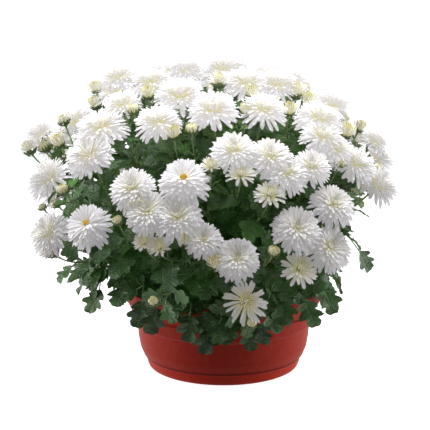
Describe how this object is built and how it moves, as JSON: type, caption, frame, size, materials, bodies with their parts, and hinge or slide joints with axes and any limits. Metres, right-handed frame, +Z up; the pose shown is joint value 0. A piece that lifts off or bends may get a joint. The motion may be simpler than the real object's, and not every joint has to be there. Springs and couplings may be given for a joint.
{
  "type": "pot chrysanthemum",
  "caption": "White double spray chrysanthemum grown as a low dome in a terracotta-red plastic bowl pot with stepped sides.",
  "frame": {"origin": "centre of the pot's flat foot, on the surface it stands on", "axes": "+Z up through the pot's axis, -Y to the side that is seen first"},
  "size_m": [0.4375, 0.437, 0.3627],
  "materials": {
    "terracotta_plastic": "matte, powdery, stepped moulding",
    "peat": "crumbly moist peat mix",
    "foliage": "satin green leaves and stems",
    "petals": "soft white petals with cream centres"
  },
  "bodies": {
    "root": {"pot": "terracotta_plastic", "potting_soil": "peat", "cutting_1": "foliage", "cutting_2": "foliage", "cutting_3": "foliage", "cutting_4": "foliage", "cutting_5": "foliage", "flower_spray_01": "petals", "flower_spray_02": "petals", "flower_spray_03": "petals", "flower_spray_04": "petals", "flower_spray_05": "petals", "flower_spray_06": "petals", "flower_spray_07": "petals", "flower_spray_08": "petals", "flower_spray_09": "petals", "flower_spray_10": "petals", "flower_spray_11": "petals", "flower_spray_12": "petals", "flower_spray_13": "petals", "flower_spray_14": "petals", "flower_spray_15": "petals", "flower_spray_16": "petals", "flower_spray_17": "petals", "flower_spray_18": "petals", "flower_spray_19": "petals", "flower_spray_20": "petals", "flower_spray_21": "petals", "flower_spray_22": "petals", "flower_spray_23": "petals", "flower_spray_24": "petals", "flower_spray_25": "petals", "flower_spray_26": "petals", "flower_spray_27": "petals", "flower_spray_28": "petals", "flower_spray_29": "petals", "flower_spray_30": "petals", "flower_spray_31": "petals", "flower_spray_32": "petals", "flower_spray_33": "petals", "flower_spray_34": "petals", "flower_spray_35": "petals", "flower_spray_36": "petals", "flower_spray_37": "petals", "flower_spray_38": "petals", "flower_spray_39": "petals", "flower_spray_40": "petals", "flower_spray_41": "petals", "flower_spray_42": "petals", "flower_spray_43": "petals", "flower_spray_44": "petals", "flower_spray_45": "petals", "flower_spray_46": "petals", "flower_spray_47": "petals", "flower_spray_48": "petals", "flower_spray_49": "petals", "flower_spray_50": "petals", "flower_spray_51": "petals", "flower_spray_52": "petals", "flower_spray_53": "petals"}
  },
  "joints": []
}
